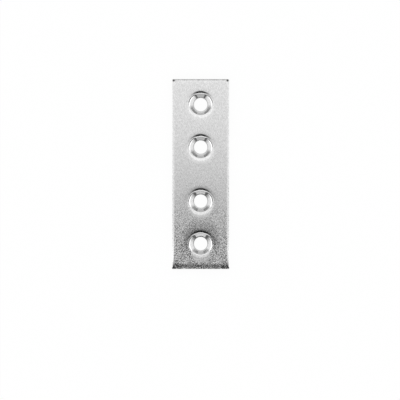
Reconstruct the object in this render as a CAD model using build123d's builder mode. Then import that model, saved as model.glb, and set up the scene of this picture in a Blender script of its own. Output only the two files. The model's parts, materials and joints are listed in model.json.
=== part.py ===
"""Extrusion joining plate: a flat steel strip with four countersunk screw holes in a row.

Millimetres. The origin is the middle of the back face, which lies on the two members to be joined.
X runs across the strip, Y along it, and Z out of the countersunk front face.

The strip is cut from coil with rolled long edges, which bend down a little before their small
rounding. Its holes are pierced and their countersinks are coined with a cone punch, which also
draws the face around each one down a little. A blade then crops it to length, so that each end has
a rolled-over edge on one face and a crisp edge on the other, with a smooth burnished band and a
slightly sloped fracture between them.
"""

import os
from math import cos, radians, sin, tan

from build123d import *

# Strip
plate_length = 60.0
plate_width = 18.0
plate_thickness = 2.0

# Rolled long edges
edge_bend_radius = 2.2
edge_bend_slope = 20.0  # degrees, where the face has bent down to the edge's rounding
edge_radius = 0.25

# Cropped ends
rollover_radius = 4.5
rollover_slope = 25.0  # degrees, where the face has bent down to the rolled edge
rolled_edge_radius = 0.2  # between the rollover and the cut
burnish_share = 0.45  # of the height left under the rollover
fracture_slope = 4.0  # degrees off square
crisp_edge_radius = 0.15

# Screw holes, two for each of the members that the plate joins
hole_pitch = 13.45
middle_pitch = 17.1
hole_radius = 2.1
hole_positions = [
    (0, side * (middle_pitch / 2 + step * hole_pitch)) for side in (-1, 1) for step in (0, 1)
]

# Coined countersink
countersink_radius = 3.3  # where the cone starts, under its rounded rim
countersink_angle = 100.0
rim_radius = 1.8
dish_radius = 5.4
dish_slope = 3.0  # degrees, where the dished face runs into the rim
throat_radius = 0.15  # between the cone and the short straight hole
exit_chamfer = 0.06


def make_countersink_punch():
    """The solid that one hole takes away: dish, rim, cone, straight hole and exit chamfer."""
    cone_slope = 90 - countersink_angle / 2
    rim_run = rim_radius * (sin(radians(cone_slope)) - sin(radians(dish_slope)))
    rim_fall = rim_radius * (cos(radians(dish_slope)) - cos(radians(cone_slope)))
    rim_start = countersink_radius + rim_run
    dish_bend = (dish_radius - rim_start) / sin(radians(dish_slope))
    dish_fall = dish_bend * (1 - cos(radians(dish_slope)))
    cone_start = plate_thickness - dish_fall - rim_fall
    cone_end = cone_start - (countersink_radius - hole_radius) * tan(radians(cone_slope))
    over = plate_thickness  # how far the punch stands out of both faces

    with BuildPart() as punch:
        with BuildSketch(Plane.XZ) as half_section:
            with BuildLine() as outline:
                dish = JernArc(
                    start=(dish_radius, plate_thickness),
                    tangent=(-1, 0),
                    radius=dish_bend,
                    arc_size=dish_slope,
                )
                rim = JernArc(
                    start=dish @ 1,
                    tangent=dish % 1,
                    radius=rim_radius,
                    arc_size=cone_slope - dish_slope,
                )
                hole_wall = FilletPolyline(
                    rim @ 1,
                    (hole_radius, cone_end),
                    (hole_radius, exit_chamfer),
                    radius=throat_radius,
                )
                Polyline(
                    hole_wall @ 1,
                    (hole_radius + exit_chamfer, 0),
                    (hole_radius + exit_chamfer, -over),
                    (0, -over),
                    (0, plate_thickness + over),
                    (dish_radius, plate_thickness + over),
                    (dish_radius, plate_thickness),
                )
            make_face()
        revolve(axis=Axis.Z)
    return punch.part


def bent_edge(start, tangent, bend_radius, slope, radius):
    """Carries a profile over an edge that bends down round a large arc and then a small one."""
    bend = JernArc(start=start, tangent=tangent, radius=bend_radius, arc_size=slope)
    rounding = JernArc(start=bend @ 1, tangent=bend % 1, radius=radius, arc_size=90 - slope)
    return rounding @ 1


def edge_run(bend_radius, slope, radius):
    """How far from its outermost point such an edge starts to bend."""
    return bend_radius * sin(radians(slope)) + radius * (1 - sin(radians(slope)))


def edge_fall(bend_radius, slope, radius):
    """How far below its face such an edge reaches its outermost point."""
    return bend_radius * (1 - cos(radians(slope))) + radius * cos(radians(slope))


def make_joining_plate():
    """The strip, cropped to length and pierced."""
    side = plate_width / 2
    end = plate_length / 2
    middle = plate_thickness / 2
    long_edge = (edge_bend_radius, edge_bend_slope, edge_radius)
    rolled_edge = (rollover_radius, rollover_slope, rolled_edge_radius)
    bend_start = side - edge_run(*long_edge)
    roll_start = end - edge_run(*rolled_edge)
    burnish_end = (plate_thickness - edge_fall(*rolled_edge)) * (1 - burnish_share)
    fracture_run = burnish_end * tan(radians(fracture_slope))
    punch = make_countersink_punch()

    with BuildPart() as plate:
        with BuildSketch(Plane((0, end, middle), x_dir=(1, 0, 0), z_dir=(0, -1, 0))) as strip_section:
            with BuildLine() as outline:
                edge_end = bent_edge((-bend_start, middle), (-1, 0), *long_edge)
                Line((0, middle), (-bend_start, middle))
                Line(edge_end, (-side, 0))
                mirror(about=Plane.XZ)
                mirror(about=Plane.YZ)
            make_face()
        extrude(amount=plate_length)

        with BuildSketch(Plane.YZ.offset(-side)) as cropped_profile:
            with BuildLine() as outline:
                # the lower end has its rollover on the front face, the upper end on the back face
                front_end = bent_edge((-roll_start, plate_thickness), (-1, 0), *rolled_edge)
                back_end = bent_edge((roll_start, 0), (1, 0), *rolled_edge)
                FilletPolyline(
                    front_end,
                    (-end, burnish_end),
                    (-end + fracture_run, 0),
                    (roll_start, 0),
                    radius=[0, crisp_edge_radius],
                )
                FilletPolyline(
                    back_end,
                    (end, plate_thickness - burnish_end),
                    (end - fracture_run, plate_thickness),
                    (-roll_start, plate_thickness),
                    radius=[0, crisp_edge_radius],
                )
            make_face()
        extrude(amount=plate_width, mode=Mode.INTERSECT)

        with Locations(*hole_positions):
            add(punch, mode=Mode.SUBTRACT)
    return plate


plate = make_joining_plate()
plate.part.label = "joining_plate"

os.makedirs("parts", exist_ok=True)
export_step(plate.part, "parts/joining_plate.step")
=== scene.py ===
"""Extrusion joining plate: the looks of a zinc plated steel strip with a row of coined countersinks.

The plate is built in the order in which it is made. A rolled strip, whose long edges bend down a
little, is cropped to length, each hole is pierced and coined by a punch, and the whole is plated.
Everything is in metres, in the frame of the CAD model, whose box and mounts give the main sizes.
"""
import json
from math import cos, pi, radians, sin, sqrt, tan

import bmesh
import bpy
from mathutils import Matrix, Vector, noise


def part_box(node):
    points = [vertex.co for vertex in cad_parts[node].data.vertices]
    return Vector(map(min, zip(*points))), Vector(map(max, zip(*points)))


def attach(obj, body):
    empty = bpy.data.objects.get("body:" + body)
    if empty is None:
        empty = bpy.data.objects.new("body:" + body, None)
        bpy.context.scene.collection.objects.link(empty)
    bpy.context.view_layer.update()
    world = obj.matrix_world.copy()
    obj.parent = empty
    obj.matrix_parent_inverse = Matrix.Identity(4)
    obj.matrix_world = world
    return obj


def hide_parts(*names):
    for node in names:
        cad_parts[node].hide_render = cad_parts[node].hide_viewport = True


MM = 0.001

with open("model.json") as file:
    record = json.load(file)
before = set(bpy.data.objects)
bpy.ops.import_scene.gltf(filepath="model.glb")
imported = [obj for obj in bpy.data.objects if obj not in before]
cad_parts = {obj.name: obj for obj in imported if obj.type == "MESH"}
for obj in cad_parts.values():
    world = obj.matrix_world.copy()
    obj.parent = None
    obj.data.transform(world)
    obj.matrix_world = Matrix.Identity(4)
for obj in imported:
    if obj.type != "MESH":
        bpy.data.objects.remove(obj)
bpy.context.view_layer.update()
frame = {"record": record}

# ---------------------------------------------------------------- sizes, from the frame

low_corner, high_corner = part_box("joining_plate")
plate_width = high_corner.x - low_corner.x
plate_end = high_corner.y
plate_thickness = high_corner.z
screw_holes = [mount for mount in frame["record"]["mounts"] if mount["kind"] == "bore"]
hole_radius = screw_holes[0]["dims"]["r_mm"] * MM

# Rolled strip, whose long edges bend down a little before their small rounding
edge_bend_radius = 2.2 * MM
edge_bend_slope = radians(20)
edge_radius = 0.25 * MM

# Cropped ends
rollover_radius = 4.2 * MM
rollover_slope = radians(25)  # where the face has bent down to the rolled edge
rolled_edge_radius = 0.2 * MM  # between the rollover and the cut
burnish_share = 0.45  # of the height left under the rollover
fracture_slope = radians(4)
crisp_edge_radius = 0.15 * MM

# Rows of faces along the outline, which the unevenness of cropping needs
cuts_across = 180
cuts_along = 24
rollover_rows = 14
long_edge_rows = 10
face_insets = [
    inset * MM for inset in (0.5, 0.42, 0.35, 0.28, 0.2, 0.14, 0.1, 0.075, 0.05, 0.035, 0.02, 0.01)
]
crisp_inset_share = 3.6  # the insets are wider at the crisp end

# Unevenness of cropping
crisp_droop = 0.05 * MM
crisp_droop_reach = 1.7 * MM
burr_height = 0.045 * MM
burr_reach = 0.2 * MM
edge_zone = 0.6 * MM  # below the front face, over which the crisp edge's droop dies out
corner_droop = 0.10 * MM
corner_droop_zone = (6 * MM, 8.8 * MM)  # off the centre line
torn_zone = (2.5 * MM, 1.2 * MM)  # from the end, where the tearing begins and is full
torn_depth = (0.8 * MM, 0.5 * MM)  # below the face, where the tearing begins and is full
tear_relief = 0.03 * MM
tear_octaves = ((1.1, 1.0), (2.3, 0.6), (4.3, 0.45))  # features per millimetre and their share

# Coined countersink
cone_slope = radians(40)
cone_start_radius = 3.3 * MM
rim_radius = 1.8 * MM
dish_radius = 5.4 * MM
dish_slope = radians(3)
throat_radius = 0.15 * MM
exit_chamfer = 0.06 * MM
turns = 128
dish_rows = 8
rim_rows = 16
cone_rows = 4
throat_rows = 6
punch_offsets = [offset * MM for offset in (-0.14, -0.14, -0.14, 0.06)]  # off the holes, along Y
coined_reach = 3.75 * MM  # how far the punch has left its own bright finish

# Finishes
sharp_angle = radians(35)
sheared_end = 0.25 * MM
sheared_lean = 0.7  # least share of a sheared face's normal that points along the strip
crisp_sheared_lean = 0.15  # at the crisp end, where the small rounding takes the dark sheared finish too, which draws a dark line along that edge
flat_lean = 0.9999  # share of a normal that points along Z, over which a face counts as flat
coined_roughness = 0.10
sheared_roughness = 0.45
grain_turn = (0.7, 0.4, 0.6)  # so that no noise has its lattice along the strip
scratches = (  # the middle, and half the length across the strip
    (7.2 * MM, -20.9 * MM, 1.3 * MM),
    (-3.9 * MM, -28.2 * MM, 1.0 * MM),
    (4.6 * MM, -28.2 * MM, 0.9 * MM),
)

# Studio
sensor_width = 36  # of the camera, in millimetres
white_share = 0.92  # of the paper's look, which is plain white instead of lit
camera_height = 0.6  # over the front face
view_width = 0.1263  # at the front face


# ---------------------------------------------------------------- the cropped strip


def link_mesh(name, bm):
    """Makes a finished bmesh an object of the scene."""
    mesh = bpy.data.meshes.new(name)
    bm.to_mesh(mesh)
    bm.free()
    obj = bpy.data.objects.new(name, mesh)
    bpy.context.scene.collection.objects.link(obj)
    return obj


def bent_edge(radius, slope, small_radius, steps):
    """The profile of an edge that bends down round a large arc and then a small one, as pairs of
    how far it has fallen from the face and how far it still lies inside its outermost point."""
    run = radius * sin(slope) + small_radius * (1 - sin(slope))
    fall = radius * (1 - cos(slope))
    profile = []
    for step in range(steps):
        turn = slope * step / steps
        profile.append((radius * (1 - cos(turn)), run - radius * sin(turn)))
    for step in range(steps + 1):
        turn = slope + (pi / 2 - slope) * step / steps
        profile.append((fall + small_radius * (cos(slope) - cos(turn)), small_radius * (1 - sin(turn))))
    return profile


def setback_at(profile, fall):
    """How far an edge profile lies inside its outermost point, where it has fallen this far."""
    for (above, start), (below, end) in zip(profile, profile[1:]):
        if fall < below:
            return start + (end - start) * (fall - above) / (below - above)
    return 0


def crop_setback(height):
    """How far the cut surface lies inside the plate's end, at a height over the crisp edge's face."""
    drop_height = plate_thickness - rollover[-1][0]
    if height > drop_height:
        return setback_at(rollover, plate_thickness - height)
    burnish_end = drop_height * (1 - burnish_share)
    setback = max(burnish_end - height, 0) * tan(fracture_slope)
    if height < crisp_edge_radius:
        setback += crisp_edge_radius - sqrt(crisp_edge_radius**2 - (crisp_edge_radius - height) ** 2)
    return setback


def outline_at(height, inset):
    """The matrix that carries a square of side 2 to the plate's outline at a height."""
    lower = -plate_end + crop_setback(height) + inset
    upper = plate_end - crop_setback(plate_thickness - height) - inset * crisp_inset_share
    half_width = plate_width / 2 - setback_at(long_edge, min(height, plate_thickness - height)) - inset
    place = Matrix.Translation((0, (lower + upper) / 2, height))
    return place @ Matrix.Diagonal((half_width, (upper - lower) / 2, 1, 1))


def outline_levels():
    """Height and inset of each outline, from the front face over the edges to the back face."""
    falls = sorted({round(fall, 7) for fall, _ in rollover + long_edge})
    front = [(plate_thickness, inset) for inset in face_insets]
    front += [(plate_thickness - fall, 0) for fall in falls]
    return front + [(plate_thickness - height, inset) for height, inset in reversed(front)]


def add_cropped_strip(bm):
    """The outer skin, as outlines stacked from front to back."""
    levels = outline_levels()
    bmesh.ops.create_grid(bm, x_segments=1, y_segments=1, size=1)
    bmesh.ops.delete(bm, geom=bm.faces[:], context="FACES_ONLY")
    for axis, cuts in ((0, cuts_across), (1, cuts_along)):
        sides = [edge for edge in bm.edges if abs(edge.verts[0].co[axis] - edge.verts[1].co[axis]) > 1]
        bmesh.ops.subdivide_edges(bm, edges=sides, cuts=cuts - 1)
    bmesh.ops.transform(bm, matrix=outline_at(*levels[0]), verts=bm.verts[:])
    rim = bm.edges[:]
    for above, below in zip(levels, levels[1:]):
        grown = bmesh.ops.extrude_edge_only(bm, edges=rim)["geom"]
        corners = [item for item in grown if isinstance(item, bmesh.types.BMVert)]
        fresh = set(corners)
        rim = [item for item in grown if isinstance(item, bmesh.types.BMEdge)
               and item.verts[0] in fresh and item.verts[1] in fresh]
        step = outline_at(*below) @ outline_at(*above).inverted()
        bmesh.ops.transform(bm, matrix=step, verts=corners)


def ramp(value, start, end):
    """Rises smoothly from 0 at the start to 1 at the end."""
    share = min(max((value - start) / (end - start), 0), 1)
    return share * share * (3 - 2 * share)


def tear(point, side):
    """The relief of a torn rollover, about 1 high, which differs on the two faces."""
    return sum(
        share * noise.noise(Vector((point.x * fineness, point.y * fineness * 1.4, side * 9)) / MM)
        for fineness, share in tear_octaves
    )


def roughen_rollover(point, side):
    """Tears the rollover of the front face at the -Y end, or of the back face at the +Y end."""
    inside = plate_end + side * point.y
    below = plate_thickness - point.z if side > 0 else point.z
    rolled = ramp(inside, *torn_zone) * ramp(below, *torn_depth)
    droop = corner_droop * ramp(abs(point.x), *corner_droop_zone)
    point.z += side * rolled * (tear_relief * tear(point, side) - droop)


def roughen_crisp_edge(point):
    """Lets the front face droop towards the crisp edge, and raises a ragged burr on it."""
    inside = max(plate_end - crisp_edge_setback - point.y, 0)
    droop = crisp_droop * max(1 - inside / crisp_droop_reach, 0) ** 2
    ragged = 0.8 + 0.5 * noise.noise(Vector((point.x * 0.9, 0, 3)) / MM)
    burr = burr_height * ragged * max(1 - inside / burr_reach, 0)
    point.z += ramp(point.z, plate_thickness - edge_zone, plate_thickness) * (burr - droop)


def roughen_ends(bm):
    """The unevenness of cropping. Nothing is left standing under the back face."""
    for vert in bm.verts:
        roughen_rollover(vert.co, 1)
        roughen_rollover(vert.co, -1)
        roughen_crisp_edge(vert.co)
        vert.co.z = max(vert.co.z, 0)


rollover = bent_edge(rollover_radius, rollover_slope, rolled_edge_radius, rollover_rows)
long_edge = bent_edge(edge_bend_radius, edge_bend_slope, edge_radius, long_edge_rows)
crisp_edge_setback = crop_setback(0)


# ---------------------------------------------------------------- coined countersinks


def bend(section, radius, from_slope, to_slope, steps):
    """Carries a half section on round an arc, which steepens from one slope to the other."""
    start = section[-1]
    for step in range(1, steps + 1):
        slope = from_slope + (to_slope - from_slope) * step / steps
        inward = radius * (sin(slope) - sin(from_slope))
        down = radius * (cos(from_slope) - cos(slope))
        section.append(start - Vector((inward, 0, down)))


def countersink_section():
    """The half section of one hole, from the front face in to the back face."""
    rim_run = rim_radius * (sin(cone_slope) - sin(dish_slope))
    dish_bend = (dish_radius - cone_start_radius - rim_run) / sin(dish_slope)
    section = [Vector((dish_radius, 0, plate_thickness))]
    bend(section, dish_bend, 0, dish_slope, dish_rows)
    bend(section, rim_radius, dish_slope, cone_slope, rim_rows)
    cone_run = section[-1].x - hole_radius - throat_radius * (1 - sin(cone_slope))
    row = Vector((cone_run / cone_rows, 0, cone_run / cone_rows * tan(cone_slope)))
    for _ in range(cone_rows):
        section.append(section[-1] - row)
    bend(section, throat_radius, cone_slope, pi / 2, throat_rows)
    section.append(Vector((hole_radius, 0, exit_chamfer)))
    section.append(Vector((hole_radius + exit_chamfer, 0, 0)))
    return section


def make_punch():
    """The surface that one hole leaves, as a mesh about the Z axis."""
    bm = bmesh.new()
    verts = [bm.verts.new(point) for point in countersink_section()]
    edges = [bm.edges.new(pair) for pair in zip(verts, verts[1:])]
    bmesh.ops.spin(bm, geom=verts + edges, cent=(0, 0, 0), axis=(0, 0, 1), angle=2 * pi, steps=turns,
                   use_merge=True)
    punch = bpy.data.meshes.new("punch")
    bm.to_mesh(punch)
    bm.free()
    return punch


def keep_hole_in_place(verts, offset):
    """Slides the lower end of a cone along its own slope, back on to a hole that the punch missed."""
    for vert in verts:
        radius = vert.co.xy.length
        if radius < cone_start_radius:
            share = min((cone_start_radius - radius) / (cone_start_radius - hole_radius - throat_radius), 1)
            outward = -offset * share * vert.co.y / radius
            vert.co.xy *= 1 + outward / radius
            if vert.co.z > 2 * exit_chamfer:
                vert.co.z += outward * tan(cone_slope)


def punch_holes(bm):
    """Adds the surface of each hole, whose countersink may lie a little off it."""
    punch = make_punch()
    for mount, offset in zip(screw_holes, punch_offsets):
        known = len(bm.verts)
        bm.from_mesh(punch)
        bm.verts.ensure_lookup_table()
        fresh = bm.verts[known:]
        keep_hole_in_place(fresh, offset)
        bmesh.ops.translate(bm, verts=fresh, vec=(mount["pos_m"][0], mount["pos_m"][1] + offset, 0))
    bpy.data.meshes.remove(punch)


def fill_flat_faces(bm):
    """Closes the front and back faces between the outline and the holes."""
    for height in (plate_thickness, 0):
        rims = [edge for edge in bm.edges if edge.is_boundary
                and all(abs(vert.co.z - height) < 1e-7 for vert in edge.verts)]
        bmesh.ops.triangle_fill(bm, use_beauty=True, edges=rims, normal=(0, 0, 1))
    bmesh.ops.remove_doubles(bm, verts=bm.verts, dist=1e-7)
    bmesh.ops.recalc_face_normals(bm, faces=bm.faces)


def choose_finishes(bm):
    """Gives the countersinks the coined finish and the cut ends the sheared one."""
    for face in bm.faces:
        face.smooth = True
        middle = face.calc_center_median()
        reach = min(sqrt(middle.x**2 + (middle.y - mount["pos_m"][1]) ** 2) for mount in screw_holes)
        lean = crisp_sheared_lean if middle.y > 0 else sheared_lean
        if reach < coined_reach and middle.z > 0 and face.normal.z < flat_lean:
            face.material_index = 1
        elif abs(middle.y) > plate_end - sheared_end and abs(face.normal.y) > lean:
            face.material_index = 2


def make_plate():
    """The whole plate as one smooth shaded mesh, whose flat faces keep their own normals."""
    bm = bmesh.new()
    add_cropped_strip(bm)
    punch_holes(bm)
    fill_flat_faces(bm)
    choose_finishes(bm)
    roughen_ends(bm)
    for edge in bm.edges:
        edge.smooth = edge.calc_face_angle(0) < sharp_angle
    plate = link_mesh("plated_strip", bm)
    weighted = plate.modifiers.new("flat faces stay flat", "WEIGHTED_NORMAL")
    weighted.keep_sharp = True
    weighted.weight = 100
    return plate


# ---------------------------------------------------------------- finishes


def feed(tree, socket, value):
    """Gives an input either another node's output or a plain value."""
    if isinstance(value, bpy.types.NodeSocket):
        tree.links.new(value, socket)
    else:
        socket.default_value = value


def add_node(tree, kind, **values):
    """Adds a shader node. Values are its inputs by name."""
    node = tree.nodes.new(kind)
    for name, value in values.items():
        socket = node.inputs[name.replace("_", " ")]
        feed(tree, socket, value)
    return node


def add_math(tree, operation, first, second):
    """Adds a math node and returns its result."""
    node = tree.nodes.new("ShaderNodeMath")
    node.operation = operation
    feed(tree, node.inputs[0], first)
    feed(tree, node.inputs[1], second)
    return node.outputs[0]


def add_fade(tree, value, start, end, low, high):
    """Passes smoothly from low, while the value is at its start, to high at its end."""
    node = add_node(tree, "ShaderNodeMapRange", Value=value, From_Min=start, From_Max=end,
                    To_Min=low, To_Max=high)
    node.interpolation_type = "SMOOTHSTEP"
    return node.outputs["Result"]


def add_noise(tree, place, scale, stretch, detail):
    """Grain of a given fineness in features per metre, stretched along the strip."""
    drawn = add_node(tree, "ShaderNodeMapping", Vector=place, Scale=(1, 1 / stretch, 1),
                     Rotation=grain_turn)
    node = add_node(tree, "ShaderNodeTexNoise", Vector=drawn.outputs[0], Scale=scale, Detail=detail)
    return node.outputs["Fac"]


def start_finish(name):
    """A zinc plated metal without its grain yet, and the place on the part."""
    material = bpy.data.materials.new(name)
    material.use_nodes = True
    tree = material.node_tree
    shader = tree.nodes["Principled BSDF"]
    shader.inputs["Metallic"].default_value = 1
    place = tree.nodes.new("ShaderNodeTexCoord").outputs["Object"]
    return material, tree, shader, place


def set_tone(tree, shader, tone):
    """Links a grey tone to the metal's colour."""
    grey = tree.nodes.new("ShaderNodeCombineColor")
    for channel in grey.inputs:
        tree.links.new(tone, channel)
    tree.links.new(grey.outputs[0], shader.inputs["Base Color"])


def darken(tree, tone, mask, share):
    """Takes a share of a tone away where a mask is 1."""
    loss = add_math(tree, "MULTIPLY", mask, share)
    return add_math(tree, "MULTIPLY", tone, add_math(tree, "SUBTRACT", 1.0, loss))


def add_distance(tree, place, point):
    """Distance from a point, looking along Z."""
    flat = add_node(tree, "ShaderNodeMapping", Vector=place, Scale=(1, 1, 0))
    node = tree.nodes.new("ShaderNodeVectorMath")
    node.operation = "DISTANCE"
    tree.links.new(flat.outputs[0], node.inputs[0])
    node.inputs[1].default_value = point
    return node.outputs["Value"]


def add_hole_distance(tree, place, shift):
    """Distance from the nearest hole's axis, which may be shifted along the strip."""
    reach = 1.0
    for mount in screw_holes:
        axis = (0, mount["pos_m"][1] + shift, 0)
        reach = add_math(tree, "MINIMUM", reach, add_distance(tree, place, axis))
    return reach


def lighten(tree, tone, mask, share):
    """Adds a share to a tone where a mask is 1."""
    return darken(tree, tone, mask, -share)


def add_rolled_grain(tree, shader, place, along):
    """Rolling leaves a fine grain, which the specks towards the rolled-over end partly cover. Returns its
    tone.
    """
    rolled = add_noise(tree, place, scale=3000, stretch=2.0, detail=1.0)
    still = add_fade(tree, along, 0 * MM, -26 * MM, 1.0, 0.4)
    relief = add_node(tree, "ShaderNodeBump", Height=rolled, Distance=0.015 * MM, Strength=still)
    tree.links.new(relief.outputs["Normal"], shader.inputs["Normal"])
    return add_math(tree, "ADD", add_math(tree, "MULTIPLY", rolled, 0.4), 0.56)


def add_sand(tree, place, tone, sand_and_painted_shade):
    """Dark specks of sand, between which the plating stays a little brighter. They are partly the plating's
    own grain and partly painted shade and painted highlight, and darken the tone on the whole.
    """
    sand = add_noise(tree, place, scale=3500, stretch=1.0, detail=1.0)
    sand = add_fade(tree, sand, 0.38, 0.62, 1.0, 0.0)
    tone = darken(tree, tone, add_math(tree, "MULTIPLY", sand, sand_and_painted_shade), 0.88)
    return lighten(tree, tone, sand_and_painted_shade, 0.5)


def add_painted_rollover_shade(tree, place, tone, along, off_centre):
    """Painted shade on the rolled-over end: its tone is darkened in blotches, most towards its corners, and
    darkened again on their very tips.
    """
    torn = add_fade(tree, along, -28.35 * MM, -28.9 * MM, 0.0, 1.0)
    blotch = add_noise(tree, place, scale=1300, stretch=0.6, detail=2.0)
    blotch = add_fade(tree, blotch, 0.42, 0.58, 0.0, 1.0)
    corner = add_fade(tree, off_centre, 5.0 * MM, 6.4 * MM, 0.5, 1.0)
    corner = add_math(tree, "MULTIPLY", corner, add_fade(tree, off_centre, 7.3 * MM, 7.9 * MM, 1.0, 0.2))
    blotch = add_math(tree, "MULTIPLY", blotch, corner)
    tone = darken(tree, tone, add_math(tree, "MULTIPLY", torn, blotch), 0.8)
    tip_shade = add_fade(tree, off_centre, 7.9 * MM, 8.3 * MM, 0.0, 1.0)
    tip_shade = add_math(tree, "MULTIPLY", tip_shade, add_fade(tree, along, -29.25 * MM, -29.45 * MM, 0.0, 1.0))
    return darken(tree, tone, tip_shade, 0.75)


def add_scratches(tree, tone, across, along):
    """Short bright scratches across the strip, given by their middle and half their length."""
    for middle, place_along, half_length in scratches:
        beside = add_math(tree, "ABSOLUTE", add_math(tree, "SUBTRACT", across, middle), 0.0)
        apart = add_math(tree, "ABSOLUTE", add_math(tree, "SUBTRACT", along, place_along), 0.0)
        line = add_fade(tree, apart, 0.16 * MM, 0.08 * MM, 0.0, 1.0)
        ends = add_fade(tree, beside, half_length, half_length - 0.3 * MM, 0.0, 1.0)
        tone = lighten(tree, tone, add_math(tree, "MULTIPLY", line, ends), 0.3)
    return tone


def add_dark_crisp_corners(tree, tone, along, off_centre):
    """Small dark spots on the two crisp corners, where the colour is darkened."""
    folded = add_node(tree, "ShaderNodeCombineXYZ", X=off_centre, Y=along).outputs[0]
    corner = add_distance(tree, folded, (8.5 * MM, 29.55 * MM, 0))
    return darken(tree, tone, add_fade(tree, corner, 0.5 * MM, 0.25 * MM, 0.0, 1.0), 0.85)


def strip_finish():
    """Satin plating over rolled strip, sandier and duller towards the rolled-over end, with painted shade
    there in the specks, round the holes and on the rolled-over end, and a painted highlight on the long
    edges.
    """
    material, tree, shader, place = start_finish("zinc plated strip")
    parts = add_node(tree, "ShaderNodeSeparateXYZ", Vector=place).outputs
    along = parts["Y"]
    off_centre = add_math(tree, "ABSOLUTE", parts["X"], 0.0)
    # The outer band of the long edges: fewer specks and less roughness there, and a painted highlight
    # towards the rolled-over end
    edge_band = add_fade(tree, off_centre, 8.2 * MM, 8.6 * MM, 0.0, 1.0)
    towards_end = add_fade(tree, along, 0 * MM, -25 * MM, 0.0, 1.0)
    patches = add_noise(tree, place, scale=220, stretch=1.0, detail=1.0)
    patches = add_fade(tree, patches, 0.35, 0.65, 0.88, 1.12)
    # Specks, partly sand and partly painted shade, stronger towards the rolled-over end and fewer on the
    # long edges
    sand_and_painted_shade = darken(tree, add_math(tree, "MULTIPLY", towards_end, patches), edge_band, 0.9)
    # Fewer specks just below each hole
    fewer_specks_below_holes = add_fade(tree, add_hole_distance(tree, place, -3 * MM), 3.4 * MM, 2.4 * MM, 0.0, 1.0)
    sand_and_painted_shade = darken(tree, sand_and_painted_shade, fewer_specks_below_holes, 0.75)

    tone = add_rolled_grain(tree, shader, place, along)
    tone = add_sand(tree, place, tone, sand_and_painted_shade)
    # Painted shade: a darker patch round each hole, centred a little towards the crisp end and strongest
    # towards the rolled-over end
    painted_dish_shade = add_fade(tree, add_hole_distance(tree, place, 1.6 * MM), 7.0 * MM, 4.6 * MM, 0.0, 1.0)
    tone = darken(tree, tone, add_math(tree, "MULTIPLY", painted_dish_shade, towards_end), 0.35)
    # Painted highlight: the long edges lighter towards the rolled-over end
    painted_edge_highlight = add_math(tree, "MULTIPLY", edge_band, add_fade(tree, along, -16 * MM, -28 * MM, 0.0, 1.0))
    tone = lighten(tree, tone, painted_edge_highlight, 0.4)
    tone = add_scratches(tree, tone, parts["X"], along)
    tone = add_painted_rollover_shade(tree, place, tone, along, off_centre)
    tone = add_dark_crisp_corners(tree, tone, along, off_centre)
    set_tone(tree, shader, tone)

    away = add_fade(tree, add_hole_distance(tree, place, 0), 4.1 * MM, 5.2 * MM, 0.0, 1.0)
    dulling = add_fade(tree, along, -8 * MM, -28.6 * MM, 0.08, 0.26)
    dulling = darken(tree, add_math(tree, "MULTIPLY", dulling, away), edge_band, 0.8)
    tree.links.new(add_math(tree, "ADD", dulling, 0.10), shader.inputs["Roughness"])
    return material


def coined_finish():
    """The punch leaves the countersinks smooth and bright."""
    material, tree, shader, place = start_finish("coined zinc")
    shader.inputs["Roughness"].default_value = coined_roughness
    grain = add_noise(tree, place, scale=3600, stretch=1.0, detail=1.0)
    tone = add_math(tree, "ADD", add_math(tree, "MULTIPLY", grain, 0.06), 0.71)
    set_tone(tree, shader, tone)
    relief = add_node(tree, "ShaderNodeBump", Height=grain, Distance=0.005 * MM)
    tree.links.new(relief.outputs["Normal"], shader.inputs["Normal"])
    return material


def sheared_finish():
    """The cut ends are dull and torn."""
    material, tree, shader, place = start_finish("sheared zinc")
    shader.inputs["Roughness"].default_value = sheared_roughness
    grain = add_noise(tree, place, scale=2600, stretch=1.0, detail=2.0)
    tone = add_math(tree, "ADD", add_math(tree, "MULTIPLY", grain, 0.3), 0.2)
    set_tone(tree, shader, tone)
    relief = add_node(tree, "ShaderNodeBump", Height=grain, Distance=0.06 * MM)
    tree.links.new(relief.outputs["Normal"], shader.inputs["Normal"])
    return material


# ---------------------------------------------------------------- studio


def dark_middle(tree, place, level):
    """A card with a soft dark patch, wider than it is long, which the plate's lower half mirrors."""
    wide = add_node(tree, "ShaderNodeMapping", Vector=place, Scale=(1.1, 1, 0)).outputs[0]
    return add_fade(tree, add_distance(tree, wide, (0, -0.157, 0)), 0.067, 0.205, 0.03, level)


def fading_to_its_ends(tree, place, level):
    """A card whose light falls off along the plate, both ways."""
    along = add_node(tree, "ShaderNodeSeparateXYZ", Vector=place).outputs["Y"]
    front = add_node(tree, "ShaderNodeMapRange", Value=along, From_Min=-0.121, From_Max=-0.045,
                     To_Min=0.25 * level, To_Max=level).outputs["Result"]
    back = add_node(tree, "ShaderNodeMapRange", Value=along, From_Min=0.080, From_Max=0.030,
                    To_Min=0.30, To_Max=1.0).outputs["Result"]
    return add_math(tree, "MULTIPLY", front, back)


def stage_material(name):
    """A material of the studio, as its nodes and the input that its surface goes to."""
    material = bpy.data.materials.new(name)
    material.use_nodes = True
    tree = material.node_tree
    tree.nodes.clear()
    return material, tree, tree.nodes.new("ShaderNodeOutputMaterial").inputs["Surface"]


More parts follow.
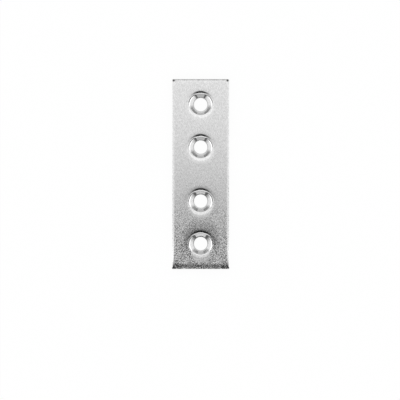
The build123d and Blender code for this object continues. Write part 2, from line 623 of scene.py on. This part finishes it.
def card(name, centre, across, upward, level, shade=None):
    """A flat studio card that is seen only in reflections. Level 1 is white."""
    bm = bmesh.new()
    turn = Matrix((across, upward, across.cross(upward))).transposed().to_4x4()
    place = Matrix.Translation(centre) @ turn
    bmesh.ops.create_grid(bm, x_segments=1, y_segments=1, size=1, matrix=place)
    obj = link_mesh(name, bm)
    material, tree, surface = stage_material(name)
    glow = add_node(tree, "ShaderNodeEmission", Color=(1, 1, 1, 1), Strength=level)
    if shade:
        point = tree.nodes.new("ShaderNodeTexCoord").outputs["Object"]
        tree.links.new(shade(tree, point, level), glow.inputs["Strength"])
    tree.links.new(glow.outputs[0], surface)
    obj.data.materials.append(material)
    obj.visible_camera = False
    obj.visible_diffuse = False
    obj.visible_shadow = False


def wall(name, azimuth, distance, half_width, bottom, top, level, shift=0, shade=None):
    """A card that stands across a direction from the plate. Azimuth 0 is +X and 90 is +Y."""
    out = Vector((cos(radians(azimuth)), sin(radians(azimuth)), 0))
    across = Vector((-out.y, out.x, 0))
    centre = out * distance + across * shift + Vector((0, 0, (bottom + top) / 2))
    card(name, centre, across * half_width, Vector((0, 0, (top - bottom) / 2)), level, shade)


def ceiling(name, left, right, front, back, height, level, shade=None):
    """A level card over the plate."""
    centre = Vector(((left + right) / 2, (front + back) / 2, height))
    card(name, centre, Vector(((right - left) / 2, 0, 0)), Vector((0, (back - front) / 2, 0)), level, shade)


def make_floor():
    """White paper. The plate's shadow shows in the share of its look that is lit."""
    bm = bmesh.new()
    bmesh.ops.create_grid(bm, x_segments=1, y_segments=1, size=3)
    floor = link_mesh("floor", bm)
    material, tree, surface = stage_material("white paper")
    path = tree.nodes.new("ShaderNodeLightPath").outputs
    mirrored = add_math(tree, "MAXIMUM", path["Is Glossy Ray"], path["Is Transmission Ray"])
    seen = add_math(tree, "MAXIMUM", path["Is Camera Ray"], mirrored)
    paper = add_node(tree, "ShaderNodeBsdfDiffuse", Color=(0.97, 0.97, 0.97, 1))
    glow = add_node(tree, "ShaderNodeEmission", Color=(1, 1, 1, 1))
    mix = tree.nodes.new("ShaderNodeMixShader")
    tree.links.new(add_math(tree, "MULTIPLY", seen, white_share), mix.inputs[0])
    tree.links.new(paper.outputs[0], mix.inputs[1])
    tree.links.new(glow.outputs[0], mix.inputs[2])
    tree.links.new(mix.outputs[0], surface)
    floor.data.materials.append(material)


def make_world():
    """White light from all around, in place of which reflections show the cards."""
    world = bpy.data.worlds.new("white room")
    world.use_nodes = True
    world.node_tree.nodes["Background"].inputs["Color"].default_value = (1, 1, 1, 1)
    bpy.context.scene.world = world


def make_camera():
    """Looks straight down on the front face, a little off the plate's middle."""
    camera_data = bpy.data.cameras.new("camera")
    camera_data.sensor_width = sensor_width
    camera_data.lens = sensor_width * camera_height / view_width
    camera_data.clip_start = 0.01
    camera = bpy.data.objects.new("camera", camera_data)
    camera.location = (-0.21 * MM, -8.20 * MM, plate_thickness + camera_height)
    bpy.context.scene.collection.objects.link(camera)
    bpy.context.scene.camera = camera


plate = make_plate()
for finish in (strip_finish(), coined_finish(), sheared_finish()):
    plate.data.materials.append(finish)
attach(plate, "root")
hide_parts("joining_plate")

make_floor()
make_world()
make_camera()

# A dark room
for azimuth in (0, 180, 270):
    wall(f"dark wall {azimuth}", azimuth, distance=1.5, half_width=1.5, bottom=0, top=1.5, level=0.15)
ceiling("dark ceiling", left=-1.5, right=1.5, front=-1.5, back=1.5, height=1.5, level=0.04)

# Softboxes over the plate and behind it
ceiling("overhead softbox", left=-0.205, right=0.205, front=-0.35, back=0.075, height=0.25, level=0.98,
        shade=dark_middle)
ceiling("overhead softbox back", left=-0.23, right=0.23, front=0.075, back=0.7, height=0.25, level=1.15)
ceiling("dark gap", left=-0.12, right=0.12, front=-0.31, back=-0.2, height=0.245, level=0.03)
ceiling("front softbox", left=-0.23, right=0.23, front=-0.5, back=-0.31, height=0.24, level=1.5)
wall("back wall", 90, distance=0.7, half_width=0.7, bottom=0.2, top=0.7, level=1.25)

# Panels on both sides, which the long edges mirror
for side in (-1, 1):
    azimuth = 90 - 90 * side
    shift = -0.0205 * side
    wall(f"side panel {side}", azimuth, distance=0.105, half_width=0.1005, bottom=0, top=0.034,
         level=1.05, shift=shift, shade=fading_to_its_ends)
    wall(f"side panel upper {side}", azimuth, distance=0.105, half_width=0.1005, bottom=0.034, top=0.075,
         level=1.9, shift=shift, shade=fading_to_its_ends)
    wall(f"back side wall {side}", azimuth, distance=0.5, half_width=0.35, bottom=0, top=0.15,
         level=0.4, shift=0.35 * side)
    wall(f"back side wall upper {side}", azimuth, distance=0.5, half_width=0.35, bottom=0.15, top=0.7,
         level=0.95, shift=0.35 * side)

# Low cards in front and behind, which the ends and the countersinks mirror
wall("front card", 270, distance=0.148, half_width=0.076, bottom=0.028, top=0.076, level=0.58)
wall("front card foot", 270, distance=0.148, half_width=0.076, bottom=0, top=0.028, level=0.9)
wall("low back card", 90, distance=0.4, half_width=0.145, bottom=0, top=0.125, level=0.60)
wall("low back card wide", 90, distance=0.41, half_width=0.5, bottom=0, top=0.125, level=0.30)

bpy.context.scene.view_settings.view_transform = "Standard"
